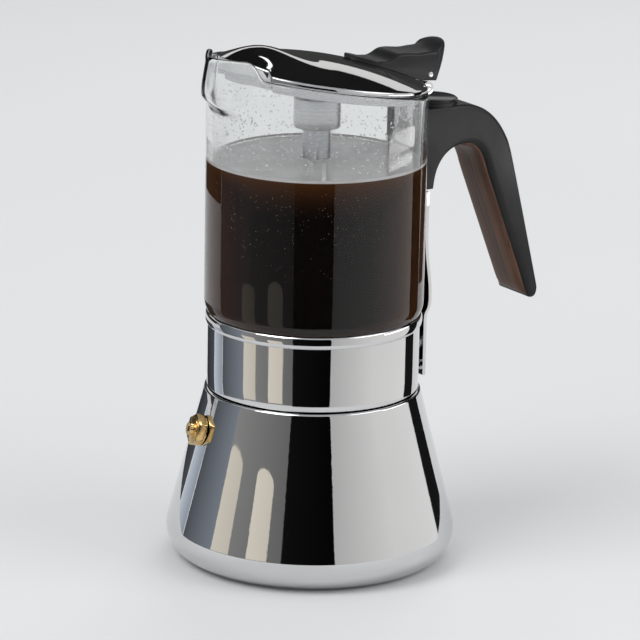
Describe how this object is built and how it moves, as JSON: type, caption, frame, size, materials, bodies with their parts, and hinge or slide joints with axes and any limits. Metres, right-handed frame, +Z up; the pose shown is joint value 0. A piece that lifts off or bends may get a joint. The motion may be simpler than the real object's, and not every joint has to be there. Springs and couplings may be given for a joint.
{
  "type": "moka pot",
  "caption": "Stove-top coffee pot with a conical steel boiler, a glass jug on a steel collar, a hinged domed lid and a handle with a wooden inlay.",
  "frame": {"origin": "centre of the boiler's flat floor, on the hob", "axes": "+Z up along the axis of the boiler and jug, +X toward the handle, -X toward the spout"},
  "size_m": [0.1503, 0.1086, 0.1972],
  "materials": {
    "polished_steel": "mirror-polished stainless steel",
    "steel": "satin stainless steel",
    "aluminium": "satin",
    "brass": "turned brass",
    "silicone": "matte",
    "glass": "clear borosilicate",
    "black_plastic": "fine matte",
    "gloss_black": "glossy",
    "walnut": "oiled dark walnut"
  },
  "bodies": {
    "boiler": {"boiler": "polished_steel", "base_disc": "polished_steel", "valve_body": "brass", "valve_washer": "silicone", "valve_nut": "brass", "valve_spring": "steel", "funnel": "aluminium", "basket_sieve": "aluminium"},
    "valve_piston": {"valve_pin": "steel"},
    "gasket_carrier": {"gasket": "silicone", "filter_plate": "aluminium"},
    "jug": {"collar": "polished_steel", "glass_seal": "silicone", "glass_jug": "glass", "riser_tube": "steel", "riser_washer": "silicone", "riser_nut": "steel", "nozzle_cap": "steel", "handle_strap": "steel", "strap_rivets": "steel", "handle_screws": "steel", "handle_body": "black_plastic", "handle_cover": "gloss_black", "wood_inlay": "walnut", "hinge_bracket": "steel", "hinge_pin": "steel"},
    "lid": {"lid": "polished_steel", "lid_plug": "steel", "lid_tongue": "steel", "thumb_lever": "black_plastic", "lever_pin": "steel"}
  },
  "joints": [
    {"name": "gasket_lift", "type": "slide", "parent": "boiler", "child": "gasket_carrier", "axis": [0, 0, 1], "range_m": [0, 0.006]},
    {"name": "jug_turn", "type": "hinge", "parent": "gasket_carrier", "child": "jug", "pos_m": [0, 0, 0], "axis": [0, 0, 1], "range_deg": [0, 540]},
    {"name": "lid_hinge", "type": "hinge", "parent": "jug", "child": "lid", "pos_m": [0.044, 0, 0.17565], "axis": [0, 1, 0], "range_deg": [0, 65]},
    {"name": "valve_push", "type": "slide", "parent": "boiler", "child": "valve_piston", "axis": [-0.9482, 0.1929, 0.2524], "range_m": [0, 0.0015], "stiffness_N_per_m": 2000, "springref_m": -0.002, "deforming": ["valve_spring"]}
  ],
  "couplings": [
    {"joint": "gasket_lift", "follows": "jug_turn", "m_per_rad": 0.00063662}
  ]
}
